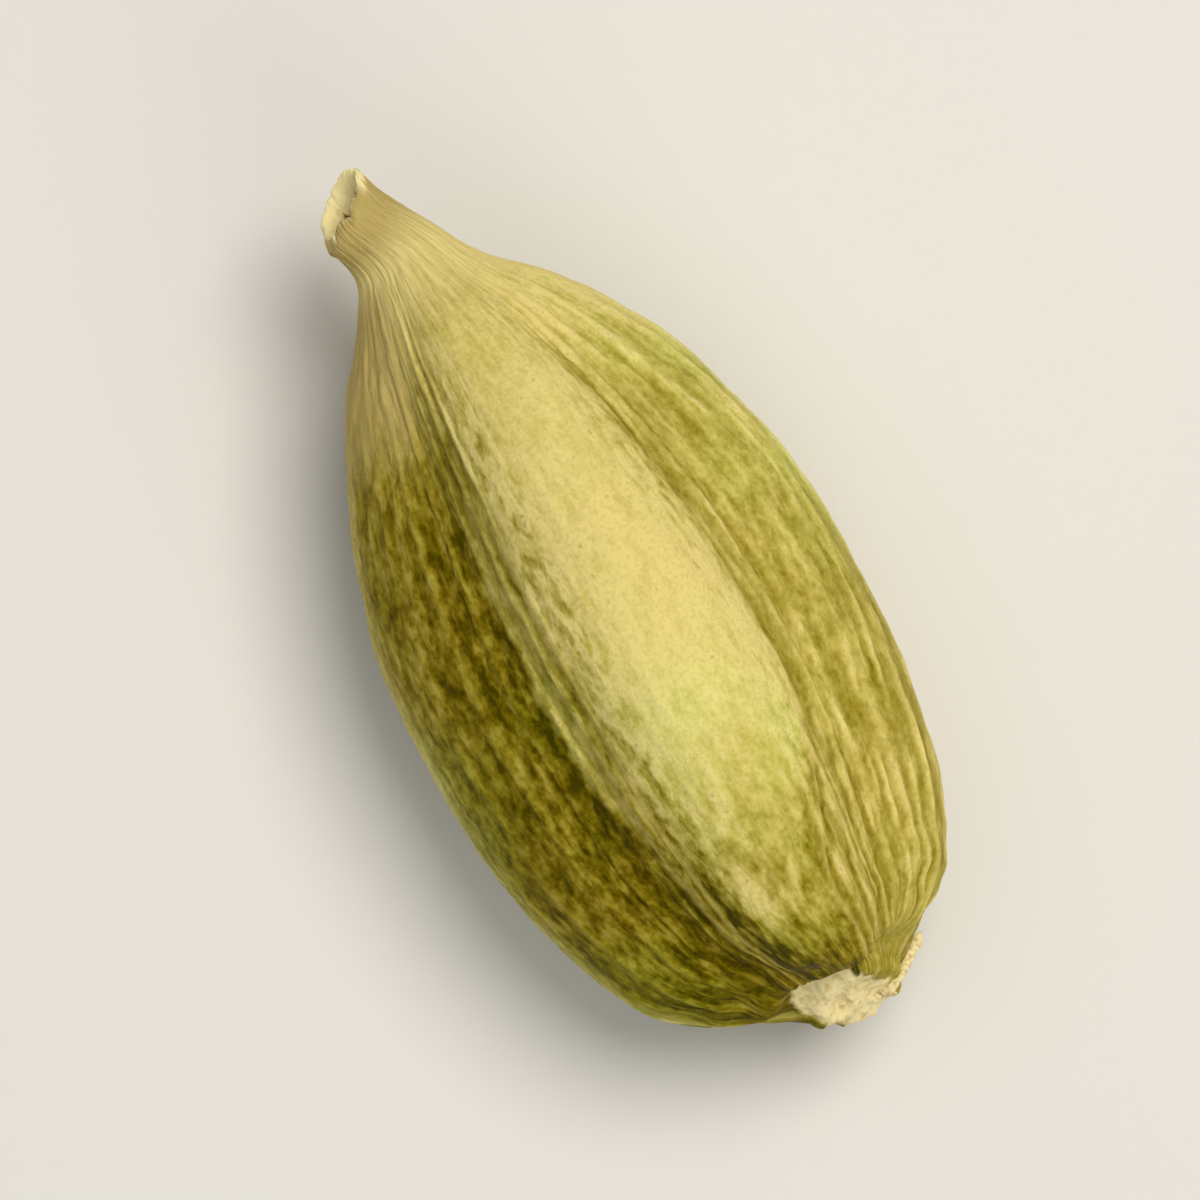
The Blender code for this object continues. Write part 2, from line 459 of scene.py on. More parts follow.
def threadAt(angle, station):
    # fine lengthwise ridges that stray, fade out and start again; 0 in a groove, 1 on a crest
    around = Vector((math.sin(angle), math.cos(angle), 0))
    stray = noise.noise(around * 2.1 + Vector((0, 0, station * 0.16)))
    stray += 0.35 * noise.noise(around * 7 + Vector((0, 4, station * 0.5)))
    phase = relief["threads"] * angle / (2 * math.pi) + relief["threadStray"] * stray
    crest = (0.5 + 0.5 * math.cos(2 * math.pi * phase)) ** 1.5
    present = smoothStep(-0.3, 0.35, noise.noise(around * 8 + Vector((9, 0, station * 0.75))))
    return crest * present


def wallTone(degrees, share, left, right, drift):
    # how bleached the wall is, and how calm its patterns are, which only the bleached part's are; the tone
    # also holds painted light and shade
    w = wallTones
    onTop = smoothStep(left - 0.8, left + 2.6, degrees) * fade(right - 3.0, right + 0.6, degrees)
    middle = window(w["topSpan"], share)
    topTone = mix(mix(*w["topEnds"], smoothStep(*w["topEndsSpan"], share)), w["top"], middle)
    # painted shade where the top lobe turns towards the left suture
    topTone += w["topDarkSide"] * fade(left, left + 13, degrees)

    # the left side: a band painted lighter against the wall's shade, a stripe of dark olive and painted
    # shade, and a flank that painted shade partly darkens
    bandEdge = left - mix(*w["bandWidth"], smoothStep(*w["bandWidthSpan"], share))
    bandTone = mix(*w["band"], smoothStep(*w["bandSpan"], share))
    leftTone = mix(w["stripe"], bandTone, smoothStep(bandEdge - 5, bandEdge + 1, degrees))
    leftTone += w["outerFlank"] * fade(*w["outerFlankArc"], degrees)
    leftTone = mix(w["leftShoulder"], leftTone, smoothStep(*w["leftShoulderSpan"], share))
    leftTone = mix(w["leftCone"], leftTone, smoothStep(*w["leftConeSpan"], share))
    # painted rim light: a pale band along the left outline
    rimLightMiddle, rimLightReach = w["leftPaintedRimLightPlace"]
    leftTone += (w["leftPaintedRimLight"][0] + w["leftPaintedRimLight"][1] * drift) * ridge(degrees - rimLightMiddle, rimLightReach)

    rightTone = w["right"] + w["rightCone"] * fade(*w["rightConeSpan"], share)
    edgeTone = mix(*w["rightEdge"], smoothStep(*w["rightEdgeSpan"], share))
    rightTone += edgeTone * window(w["rightEdgeArc"], degrees)
    # painted rim light along the right outline
    rimLightMiddle, rimLightReach = w["rightPaintedRimLightPlace"]
    rightTone += w["rightPaintedRimLight"] * ridge(degrees - rimLightMiddle, rimLightReach)

    tone = mix(rightTone, leftTone, window((*w["leftStart"], left - 1.0, left + 1.2), degrees))
    tone = mix(tone, w["underside"], smoothStep(*w["undersideArc"], abs(degrees)))
    tone = mix(tone + w["drift"] * drift, topTone + w["drift"] * drift, onTop)
    # painted shade: dark lines in the grooves beside both sutures
    lineAway, lineReach = w["leftLinePlace"]
    leftLine = (w["leftLine"][0] + w["leftLine"][1] * drift) * ridge(degrees - left - lineAway, lineReach)
    tone -= leftLine * smoothStep(*w["leftLineSpan"], share)
    lineAway, lineReach = w["rightLinePlace"]
    rightLine = (w["rightLine"][0] + w["rightLine"][1] * drift) * ridge(degrees - right - lineAway, lineReach)
    tone -= rightLine * sum(window(span, share) for span in w["rightLineSpans"])
    # darker towards the stalk and round the scar: partly a duller colour, partly painted shade
    tone -= w["dullAndShade"] * smoothStep(*w["dullAndShadeSpan"], share) * window((left - 2, left + 2, 45, 70), degrees)
    # a painted highlight on the top lobe near the stalk
    (highlightAngle, highlightWidth), (highlightShare, highlightLength) = w["paintedHighlightPlace"]
    tone += w["paintedHighlight"] * ridge(degrees - highlightAngle, highlightWidth) * ridge(share - highlightShare, highlightLength)
    scarDullAndShade = (w["scarDullAndShade"][0] + w["scarDullAndShade"][1] * onTop) * (1 - 0.6 * smoothStep(10, 40, degrees))
    tone -= scarDullAndShade * smoothStep(*w["scarDullAndShadeSpan"], share)
    tone = max(tone, mix(*w["darkest"], smoothStep(*w["darkestSpan"], share)))
    calm = onTop * middle * window((left + 7, left + 20, right - 16, right - 3), degrees)
    return tone, calm


def greenAt(degrees, share, left, right):
    w = wallTones
    onTop = window((left, left + 6, right - 6, right), degrees)
    green = w["topGreen"] * onTop * smoothStep(*w["topGreenSpan"], share)
    green += w["rightGreen"] * smoothStep(40, 70, degrees) * window(w["rightGreenSpan"], share)
    flankGreen = mix(*w["flankGreen"], smoothStep(*w["flankGreenSpan"], share))
    return green + flankGreen * fade(left - 8, left, degrees)


def readSpot(place, normal, layout, crestsAt):
    # where a vertex of the spun outline lies, in the pod's own terms
    spot = SimpleNamespace(station=place.x / mm, across=Vector((place.y, place.z)) / mm)
    spot.radius = spot.across.length
    onAxis = spot.radius <= 0.001
    spot.angle = 0.0 if onAxis else math.atan2(spot.across.x, spot.across.y)
    spot.degrees = math.degrees(spot.angle)
    spot.share = spot.station / husk["length"]
    spot.atStalk = spot.station > husk["length"] / 2
    spot.outward = 0.0 if onAxis else Vector((normal.y, normal.z)).dot(spot.across.normalized())
    spot.forward = normal.x
    spot.around = Vector((math.sin(spot.angle), math.cos(spot.angle), 0))
    spot.grain = spot.around * husk["bellyRadius"] + Vector((0, 0, spot.station))
    spot.body = smoothStep(*relief["bodySpan"], spot.radius)
    spot.left, spot.second, spot.right = seamAngles(spot.share, spot.station)
    topMargin, flankMargin = relief["seamMargins"]
    topSpan = (spot.left, spot.left + topMargin, spot.right - topMargin, spot.right)
    spot.top = window(topSpan, spot.degrees)
    spot.flank = window((*relief["flankSpan"], spot.left - flankMargin, spot.left), spot.degrees)
    spot.thread = threadAt(spot.angle, spot.station)
    key = round(spot.share * ribs["stations"])
    if key not in crestsAt:
        crestsAt[key] = ribCrests(layout, key / ribs["stations"])
    spot.ribHeight, spot.ribNear = ribAt(layout, crestsAt[key], spot.angle)
    spot.ribShare = smoothStep(ribs["start"], ribs["full"], spot.radius)
    return spot


def readSeams(spot):
    # how far the spot lies on a suture's crest or in the groove beside it
    r = relief
    fromLeft, fromSecond, fromRight = [spot.degrees - seam for seam in (spot.left, spot.second, spot.right)]
    line = max(ridge(fromLeft, r["seamHalfWidth"]), 0.7 * ridge(fromSecond, r["seamHalfWidth"]),
               0.9 * ridge(fromRight, r["seamHalfWidth"]))
    spot.seam = line * (0.75 + 0.5 * noise.noise(Vector((spot.station * 1.1, spot.degrees * 0.05, 3))))
    rightGroove = ridge(fromRight - r["grooveAway"], r["grooveHalfWidth"])
    rightGroove *= mix(0.4, 1, smoothStep(0.55, 0.7, spot.share))
    spot.seamGroove = max(ridge(fromLeft + r["grooveAway"], r["grooveHalfWidth"]), rightGroove,
                          0.7 * ridge(fromSecond + r["grooveAway"], r["grooveHalfWidth"]))


def readEnds(spot):
    # how far the skin is gone: bare is 1 on the scar
    around = spot.around
    spot.edge = 0.3 * noise.noise(around * 4 + Vector((2, 2, spot.station))) + 0.2 * noise.noise(around * 11)
    up = spot.across.y - relief["scarMiddle"][1]
    side = spot.across.x - relief["scarMiddle"][0] + relief["scarSlant"] * up
    fromScar = math.hypot(side / relief["scarReach"][0], up / relief["scarReach"][1])
    teeth = 0.16 * noise.noise(around * 2.4 + Vector((0, 6, 0)))
    teeth += 0.2 * noise.noise(around * 5 + Vector((4, 0, 0)))
    spot.bare = fade(-0.06, 0.06, fromScar - 1 - teeth) if spot.atStalk else 0.0


def wallSwell(spot):
    # how far the wall stands out from the spun outline, in mm
    r = relief
    grain, body = spot.grain, spot.body
    swell = lobeSwell(spot.angle) * lobeShare(spot.station, spot.radius)
    mean, swing = r["ribBreaks"]
    broken = mean + swing * noise.noise(Vector((spot.around.x * 6, spot.around.y * 6, spot.station * 0.4)))
    ribSwell = r["ribSoftness"] * spot.ribHeight * spot.ribNear * broken * spot.ribShare
    swell += ribSwell * mix(1, r["ribsOnTop"], spot.top)
    dent = noise.noise(grain / r["dentSize"]) + 0.5 * noise.noise(grain / r["dentSize"] * 2.3)
    swell += r["dents"] * (dent - r["dentMean"]) * body
    # the threads stay low on the narrow cone
    fewest = r["threadsOnFlank"] if spot.flank > spot.top else r["threadsOnTop"]
    threadShare = mix(1, fewest, max(spot.top, spot.flank))
    threadShare *= body if spot.atStalk else smoothStep(*r["threadConeSpan"], spot.radius)
    swell += r["threadHeight"] * (spot.thread - 0.5) * threadShare
    grains = noise.noise(Vector((grain.x, grain.y, grain.z * 0.8)) / r["grainSize"])
    grainShare = mix(r["grainsElsewhere"], 1, spot.flank) * mix(1, r["grainsOnTop"], spot.top)
    swell += r["grainHeight"] * grains * body * grainShare
    inFurrow = (1 - lobeWave(spot.angle)) / 2
    pucker = noise.noise(Vector((grain.x * 0.7, grain.y * 0.7, grain.z * 1.7)) / r["puckerSize"])
    swell += r["puckers"] * pucker * body * mix(r["puckersOnCrests"], 1, inFurrow)
    return swell + r["seamHeight"] * (spot.seam - r["grooveDepth"] * spot.seamGroove) * body


def endSwell(spot):
    # the same for the fibrous tube, the wrinkled shoulder and the rough scar
    r = relief
    around, grain, across = spot.around, spot.grain, spot.across
    if not spot.atStalk:
        fibres = noise.noise(Vector((around.x * 4, around.y * 4, spot.station * 0.4)) * 3)
        outside = smoothStep(0.0, 0.3, spot.outward)
        return r["tubeFibres"] * fibres * fade(*r["tubeSpan"], spot.station) * outside
    swell = r["collar"] * (1 - spot.bare) * fade(*r["collarSpan"], spot.radius)
    wrinkle = noise.noise(Vector((grain.x * 1.1, grain.y * 1.1, grain.z * 2.6)) + Vector((5, 5, 5)))
    swell += r["shoulderWrinkles"] * wrinkle * window(r["shoulderSpan"], spot.radius)
    onScar = Vector((0, across.x, across.y))
    lump = noise.noise(onScar * 2.3 + Vector((1, 0, 0))) + 0.5 * noise.noise(onScar * 6)
    lump -= r["scarPitDepth"] * fade(*r["scarPitSpan"], (across - Vector(r["scarPit"])).length)
    return swell + r["scarRough"] * lump * fade(*r["scarSpan"], spot.radius)


def rimSetback(spot):
    # the flower tube's rim is torn back, here more and there less
    around = spot.around
    tear = max(0.0, noise.noise(around * 2.6 + Vector((3, 1, 0))) + 0.1)
    tear += 0.35 * max(0.0, noise.noise(around * 7 + Vector((1, 7, 0))))
    return relief["rimTear"] * tear * fade(*relief["rimSpan"], spot.station)


def beakAt(spot):
    # the last six of huskShares: tan as far as the skin is dry, browner on the flank's side, and at the neck
    # a darker tan that is painted shade behind the rim
    b = beakFinish
    degrees, station, edge = spot.degrees, spot.station, spot.edge
    ragged, moreRagged = [reach * edge for reach in b["ragged"]]
    further = b["dryFurther"] * fade(*b["dryArc"][2:], degrees) * smoothStep(*b["dryArc"][:2], degrees)
    dryStart, dryEnd = b["drySpan"]
    dry = fade(dryStart + further, dryEnd + further, station + ragged)
    brown = fade(*b["brownArc"][2:], degrees) * smoothStep(*b["brownArc"][:2], degrees)
    brown *= smoothStep(*b["brownSpan"][:2], station + ragged)
    brown *= fade(*b["brownSpan"][2:], station + moreRagged)
    # painted shade: a darker band behind the rim
    neck = fade(*b["neckSpan"], station) if spot.outward > 0 else 0.0

    # the torn rim: cream, with painted light that makes it palest on the far side, and dark brown with
    # painted shade down inside the tube
    inTube = spot.outward < 0 and spot.radius < b["tubeRadius"] and not spot.atStalk
    lipDepth = b["lipInside"] if inTube else mix(*b["lipOutside"], fade(-0.5, 0.2, math.cos(spot.angle)))
    pale = max(spot.bare, fade(lipDepth - 0.06, lipDepth + 0.06, station + 0.5 * edge))
    # painted light on the rim's far side
    farSide = fade(-0.15, 0.25, 0.8 * math.cos(spot.angle) - 0.6 * math.sin(spot.angle))
    lip = 0.0 if spot.atStalk else farSide * fade(*b["palestSpan"], station + 0.5 * edge)
    # painted shade down inside the tube
    inside = smoothStep(*b["shadeSpan"], station + 0.9 * edge) if inTube else 0.0
    return dry, brown, neck, pale, lip, inside


def finishOf(spot):
    # one number for each of huskShares
    f = lineFinish
    degrees, share, left, right = spot.degrees, spot.share, spot.left, spot.right
    top, flank = spot.top, spot.flank
    busiest = max(top, flank)
    drift = noise.noise(spot.grain / f["driftSize"] + Vector((7, 7, 7)))
    ragged = degrees
    for reach, size in f["ragged"]:
        ragged += reach * noise.noise(spot.grain / size)
    shade, calm = wallTone(ragged, share, left, right, drift)
    green = greenAt(ragged, share, left, right)

    ribStrength = spot.ribHeight * (1 - 0.5 * top) / (0.6 * ribs["height"])
    ribLine = spot.ribNear * spot.ribShare * min(1.0, ribStrength)
    onRight = smoothStep(*f["crestsOnRightSpan"], share) * smoothStep(right - 2, right + 4, degrees)
    fewest = f["crestsOnFlank" if flank > top else "crestsOnTop"]
    crestShare = mix(1 + f["crestsOnRight"] * onRight, fewest, busiest)
    crest = max(f["ribCrests"] * ribLine, spot.thread * spot.body) * crestShare
    grooveShare = f["grooves"] * mix(1, f["groovesOnTopAndFlank"], busiest)
    groove = (1 - spot.thread) * (1 - spot.ribNear) * grooveShare
    groove = max(f["seamGrooves"] * spot.seamGroove, groove) * spot.body
    granular = max(f["mottleOnFlank"] * flank, top)
    besideLeft = window([left + away for away in f["leftDashArc"]], degrees)
    besideRight = window([right + away for away in f["rightDashArc"]], degrees)
    speckled = besideLeft * smoothStep(*f["leftDashSpan"], share)
    speckled += f["rightDashes"] * besideRight * window(f["rightDashSpan"], share)
    return (shade, green, calm, crest, spot.seam * spot.body, groove, granular, speckled, *beakAt(spot))


def addAttribute(mesh, name, kind, values):
    layer = mesh.attributes.new(name, kind, "POINT")
    layer.data.foreach_set("vector" if kind == "FLOAT_VECTOR" else "value", values)


def shapeHusk(piece):
    mesh = piece.data
    layout = ribLayout()
    crestsAt = {}
    normals = [v.normal.copy() for v in mesh.vertices]
    grains = []
    finishes = []
    for v, normal in zip(mesh.vertices, normals):
        spot = readSpot(v.co, normal, layout, crestsAt)
        readSeams(spot)
        readEnds(spot)
        swell = wallSwell(spot) + endSwell(spot)
        place = huskPoint(spot.station, spot.radius, spot.angle, swell, spot.outward, spot.forward)
        place.x += rimSetback(spot)
        v.co = place * mm
        grains += (spot.grain * mm)[:]
        finishes.append(finishOf(spot))
    addAttribute(mesh, "grain", "FLOAT_VECTOR", grains)
    for name, values in zip(huskShares, zip(*finishes)):
        addAttribute(mesh, name, "FLOAT", values)


def fitToSolid(piece):
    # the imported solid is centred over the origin; the husk follows it and stays inside its box
    mesh = piece.data
    for axis in range(3):
        low = min(v.co[axis] for v in mesh.vertices)
        high = max(v.co[axis] for v in mesh.vertices)
        size = huskHigh[axis] - huskLow[axis]
        scale = min(1.0, size / (high - low))
        start = huskLow[axis] + (size - scale * (high - low)) / 2 if axis < 2 else huskLow.z
        for v in mesh.vertices:
            v.co[axis] = start + (v.co[axis] - low) * scale
    mesh.update()


pod = drawAndSpin("pod_husk")
shapeHusk(pod)
fitToSolid(pod)
deselectAll()
pod.select_set(True)
bpy.context.view_layer.objects.active = pod
bpy.ops.object.shade_smooth()
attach(pod, "root")
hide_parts(huskNode)
print("husk: spun, ribbed and creased,", len(pod.data.polygons), "faces")


# a sliver of the stalk is still on beside the scar, torn off and standing a little away from the husk

sliver = {
    # place from above and lift over the husk, and the half width and half thickness there, all in mm
    "stalk": ((9.46, 0.42, -0.05, 0.16, 0.12), (9.50, 0.66, 0.03, 0.12, 0.10), (9.42, 0.88, 0.06, 0.08, 0.07),
              (9.31, 1.09, 0.10, 0.13, 0.09), (9.17, 1.32, 0.10, 0.10, 0.07), (9.04, 1.54, 0.14, 0.14, 0.08),
              (8.92, 1.74, 0.14, 0.04, 0.03)),
    "splinter": ((9.50, 0.30, -0.02, 0.08, 0.06), (9.60, 0.50, 0.03, 0.05, 0.04),
                 (9.66, 0.68, 0.05, 0.02, 0.02)),
    "steepest": 0.22,           # how far it may go down from one place to the next, over the husk
    "drop": 0.12,               # and how far it does beyond the husk's edge
    "smoothLevels": 3,
    "roughness": 0.03,
    "roughSize": 0.2,
    "seed": 53,
}


def growSliver(name, places):
    surface = []
    for x, y, lift, _, _ in places:
        hit, spot, _, _ = pod.ray_cast(Vector((x, y, 20)) * mm, Vector((0, 0, -1)))
        # where it hangs over the husk's edge it goes down slowly
        if not hit:
            height = surface[-1].z - sliver["drop"] * mm
        elif surface:
            height = max(spot.z + lift * mm, surface[-1].z - sliver["steepest"] * mm)
        else:
            height = spot.z + lift * mm
        surface.append(Vector((x * mm, y * mm, height)))
    deselectAll()
    bpy.ops.mesh.primitive_plane_add(size=mm)
    piece = bpy.context.object
    piece.name = name
    bpy.ops.object.mode_set(mode="EDIT")
    bpy.ops.mesh.select_all(action="SELECT")
    bpy.ops.mesh.merge(type="CENTER")
    bpy.ops.transform.translate(value=surface[0])
    for before, after in zip(surface, surface[1:]):
        bpy.ops.mesh.extrude_vertices_move(TRANSFORM_OT_translate={"value": after - before})
    bpy.ops.object.mode_set(mode="OBJECT")
    skin = piece.modifiers.new("skin", "SKIN")
    for point, (_, _, _, width, thickness) in zip(piece.data.skin_vertices[0].data, places):
        point.radius = (width * mm, thickness * mm)
    bpy.ops.object.modifier_apply(modifier=skin.name)
    rounding = piece.modifiers.new("rounding", "SUBSURF")
    rounding.levels = rounding.render_levels = sliver["smoothLevels"]
    bpy.ops.object.modifier_apply(modifier=rounding.name)
    for v in piece.data.vertices:
        v.co += noise.noise_vector(v.co / (sliver["roughSize"] * mm)) * sliver["roughness"] * mm
    bpy.ops.object.shade_smooth()
    return piece


noise.seed_set(sliver["seed"])              # or noise_vector takes its offsets from the clock
slivers = [growSliver("stalk_sliver", sliver["stalk"]), growSliver("stalk_splinter", sliver["splinter"])]
for piece in slivers:
    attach(piece, "root")
print("stalk: sliver and splinter")


# finishes

def linear(hexColour):
    # sRGB hex to the linear colour that the shaders use
    parts = [int(hexColour[i:i + 2], 16) / 255 for i in (1, 3, 5)]
    return tuple(p / 12.92 if p <= 0.04045 else ((p + 0.055) / 1.055) ** 2.4 for p in parts) + (1.0,)


def addNode(tree, kind, settings=None, inputs=None, stops=None):
    # an input takes a number, a hex colour, another node's output or nothing; stops are a ramp's
    made = tree.nodes.new(kind)
    for name, value in (settings or {}).items():
        setattr(made, name, value)
    for name, value in (inputs or {}).items():
        if isinstance(value, bpy.types.NodeSocket):
            tree.links.new(value, made.inputs[name])
        elif value is not None:
            made.inputs[name].default_value = linear(value) if isinstance(value, str) else value
    if stops:
        elements = made.color_ramp.elements
        while len(elements) < len(stops):
            elements.new(0.5)
        for element, (place, colour) in zip(elements, stops):
            element.position = place
            element.color = linear(colour)
    return made


def newMaterial(name):
    material = bpy.data.materials.new(name)
    material.use_nodes = True
    return material, material.node_tree, material.node_tree.nodes["Principled BSDF"]


driedHusk = {
    # dried capsule wall, thin and papery like stiff leather: matt with a faint wax, bleached to straw on the
    # top lobe, deep olive with painted shade in the furrows, mottled with sunken oil cells
    "tones": ((0.0, "#4a3f00"), (0.12, "#665702"), (0.24, "#7f6d12"), (0.38, "#998828"), (0.55, "#b0a046"),
              (0.76, "#cdbc64"), (1.0, "#e6d485")),
    "greenTones": ((0.0, "#424200"), (0.12, "#5b5b02"), (0.24, "#757310"), (0.38, "#8f8f26"),
                   (0.55, "#aaa742"), (0.76, "#cac664"), (1.0, "#e3dc88")),
    "seam": "#dccc7c",
    "rust": "#8a5f2c",
    "tan": ((0.36, "#d8c479"), (0.56, "#eddc92")),
    # darker tan: painted shade at the neck behind the rim, and the brown of the beak's flank side
    "neck": "#ad9656",
    "cream": ((0.28, "#cab071"), (0.5, "#f2e4ad")),
    # painted light: the palest cream on the rim's far side
    "lip": "#fff0b2",
    # inside the tube: cream near the rim, painted lighter against the hollow's shade, darkening to brown and
    # painted shade deeper down
    "hollow": ((0.0, "#fff0b0"), (0.5, "#f2d88c"), (0.85, "#4a3718")),
    # each pattern: size in mm, how many times as long it is along the grain (0: as it comes), then the
    # detail, roughness and distortion of its noise
    "patterns": {
        "streaks": (0.22, 5.0, 3, 0.6, 0.25),
        "fibres": (0.06, 20.0, 3, 0.6, 0.0),
        "crinkles": (0.34, 1.6, 4, 0.55, 0.3),
        "mottle": (0.24, 1.9, 2, 0.6, 0.0),
        "veins": (0.85, 8.0, 1.5, 0.6, 0.4),
        "dashes": (0.19, 2.2, 2, 0.5, 0.0),
        "patches": (4.2, 0, 2, 0.6, 0.0),
        "flecks": (0.17, 0, 3, 0.65, 0.0),
        "pores": (0.09, 0, 2, 0.6, 0.0),
        "broken": (0.22, 0, 4, 0.7, 0.6),
    },
    # how far each pattern moves the tone
    "mottleTone": 1.1,
    "fleckTone": 0.5,
    "streakTone": 0.3,
    "veinTone": 0.24,
    "crestTone": 0.2,
    "grooveTone": -0.16,
    "dashTone": -0.3,
    "calming": -0.6,            # how much calmer the patterns are where the wall is bleached
    "mottleOnRibs": 0.55,       # share of the mottle that also the ribbed side has
    "veinSharpness": 11.0,
    "greenEverywhere": 0.16,
    "gritShare": 0.5,
    "neckShare": 0.7,
    "brownShare": 0.75,
    "insideShare": 4.0,
    # bumps: strength and depth in mm
    "bumps": (("crinkles", 0.8, 0.06), ("veins", 0.5, 0.02), ("streaks", 0.6, 0.04), ("flecks", 0.6, 0.02),
              ("fibres", 0.5, 0.01), ("broken", 0.8, 0.05)),
    "roughness": (0.48, 0.74),  # from the lightest to the darkest cells
    "ior": 1.3,
    "specular": 0.1,
    "sheen": 0.06,
    "sheenRoughness": 0.18,
    "wax": "#eadb97",           # tint of the gloss and of the sheen
}


def makeDriedHusk():
    d = driedHusk
    material, tree, shader = newMaterial("driedHuskWall")
    at = {}
    for name in huskShares:
        at[name] = addNode(tree, "ShaderNodeAttribute", {"attribute_name": name}).outputs["Fac"]
    grain = addNode(tree, "ShaderNodeAttribute", {"attribute_name": "grain"}).outputs["Vector"]
    coords = addNode(tree, "ShaderNodeTexCoord").outputs["Object"]
    pattern = {}
    for name, (size, stretch, detail, rough, distortion) in d["patterns"].items():
        place = coords
        if stretch:
            drawnOut = {"Vector": grain, "Scale": (1, 1, 1 / stretch)}
            place = addNode(tree, "ShaderNodeMapping", inputs=drawnOut).outputs["Vector"]
        values = {"Vector": place, "Scale": 1 / (size * mm), "Detail": detail, "Roughness": rough,
                  "Distortion": distortion}
        pattern[name] = addNode(tree, "ShaderNodeTexNoise", inputs=values).outputs["Fac"]

    # veins run where their noise crosses its middle
    steps = (("SUBTRACT", {1: 0.5}), ("ABSOLUTE", {}), ("MULTIPLY_ADD", {1: -d["veinSharpness"], 2: 1.0}),
             ("MAXIMUM", {1: 0.0}))
    for operation, values in steps:
        values[0] = pattern["veins"]
        pattern["veins"] = addNode(tree, "ShaderNodeMath", {"operation": operation}, values).outputs[0]

    # shares and shifts that a pattern gives: its source, its low and high end, and what they stand for
    mapped = {}
    for name, source, low, high, lowest, highest in (
            ("mottle", "mottle", 0.0, 1.0, -0.5, 0.5), ("flecks", "flecks", 0.0, 1.0, -0.5, 0.5),
            ("streaks", "streaks", 0.0, 1.0, -0.5, 0.5), ("rough", "mottle", 0.3, 0.7, *d["roughness"])):
        values = {"Value": pattern[source], "From Min": low, "From Max": high, "To Min": lowest,
                  "To Max": highest}
        mapped[name] = addNode(tree, "ShaderNodeMapRange", inputs=values).outputs[0]
    scuffs = {0: pattern["mottle"], 1: pattern["flecks"]}
    pattern["scuffs"] = addNode(tree, "ShaderNodeMath", {"operation": "MULTIPLY"}, scuffs).outputs[0]
    for name, source, low, high, lowest, highest in (
            ("dashes", "dashes", 0.43, 0.62, 0.0, d["dashTone"]), ("green", "patches", 0.32, 0.6, 0.0, 1.0),
            ("seam", "streaks", 0.3, 0.6, 0.25, 0.7), ("rust", "scuffs", 0.36, 0.48, 0.0, 0.4),
            ("grit", "pores", 0.34, 0.55, 0.78, 1.0)):
        values = {"Value": pattern[source], "From Min": low, "From Max": high, "To Min": lowest,
                  "To Max": highest}
        smooth = {"interpolation_type": "SMOOTHSTEP"}
        mapped[name] = addNode(tree, "ShaderNodeMapRange", smooth, values).outputs[0]

    # products of two of those, each named for what it gives; the last two can't pass 1
    ribbed = {0: at["granular"], 1: 1 - d["mottleOnRibs"], 2: d["mottleOnRibs"]}
    granular = addNode(tree, "ShaderNodeMath", {"operation": "MULTIPLY_ADD"}, ribbed).outputs[0]
    calmed = {0: at["calm"], 1: d["calming"], 2: 1.0}
    restless = addNode(tree, "ShaderNodeMath", {"operation": "MULTIPLY_ADD"}, calmed).outputs[0]
    greenHere = {0: at["green"], 1: d["greenEverywhere"]}
    greenHere = addNode(tree, "ShaderNodeMath", {"operation": "ADD"}, greenHere).outputs[0]
    share = {}
    for name, first, second in (
            ("mottled", mapped["mottle"], granular), ("veined", pattern["veins"], pattern["mottle"]),
            ("seam", at["seam"], mapped["seam"]), ("brown", at["brown"], d["brownShare"]),
            ("neck", at["neck"], d["neckShare"]), ("green", greenHere, mapped["green"]),
            ("inside", at["inside"], d["insideShare"])):
        settings = {"operation": "MULTIPLY", "use_clamp": name in ("green", "inside")}
        share[name] = addNode(tree, "ShaderNodeMath", settings, {0: first, 1: second}).outputs[0]

    # one tone from dark olive to bleached straw, moved by every pattern, less where the wall is calm
    uneven = 0.0
    for part, strength in ((share["mottled"], d["mottleTone"]), (mapped["flecks"], d["fleckTone"]),
                           (mapped["streaks"], d["streakTone"]), (share["veined"], d["veinTone"])):
        added = {0: part, 1: strength, 2: uneven}
        uneven = addNode(tree, "ShaderNodeMath", {"operation": "MULTIPLY_ADD"}, added).outputs[0]
    tone = 0.5
    for part, strength in ((at["shade"], 0.5), (uneven, restless), (at["crest"], d["crestTone"]),
                           (at["groove"], d["grooveTone"]), (mapped["dashes"], at["speckled"])):
        added = {0: part, 1: strength, 2: tone}
        tone = addNode(tree, "ShaderNodeMath", {"operation": "MULTIPLY_ADD"}, added).outputs[0]

    # its colours, and what lies over them one after the other, among them painted shade at the neck and
    # inside the tube and painted light on the rim's far side; the fine grit darkens it all a little
    ramp = {}
    for name, source in (("tones", tone), ("greenTones", tone), ("tan", pattern["streaks"]),
                         ("cream", pattern["flecks"]), ("hollow", at["inside"])):
        ramp[name] = addNode(tree, "ShaderNodeValToRGB", inputs={"Fac": source}, stops=d[name]).outputs[0]
    colour = ramp["tones"]
    for how, amount, over in (
            ("MIX", share["green"], ramp["greenTones"]), ("MIX", share["seam"], d["seam"]),
            ("MIX", mapped["rust"], d["rust"]), ("MULTIPLY", d["gritShare"], mapped["grit"]),
            ("MIX", at["dry"], ramp["tan"]), ("MIX", share["brown"], d["neck"]),
            ("MIX", share["neck"], d["neck"]), ("MIX", at["pale"], ramp["cream"]),
            ("MIX", at["lip"], d["lip"]), ("MIX", share["inside"], ramp["hollow"])):
        settings = {"data_type": "RGBA", "blend_type": how}
        colour = addNode(tree, "ShaderNodeMix", settings, {0: amount, 6: colour, 7: over}).outputs[2]
    tree.links.new(colour, shader.inputs["Base Color"])

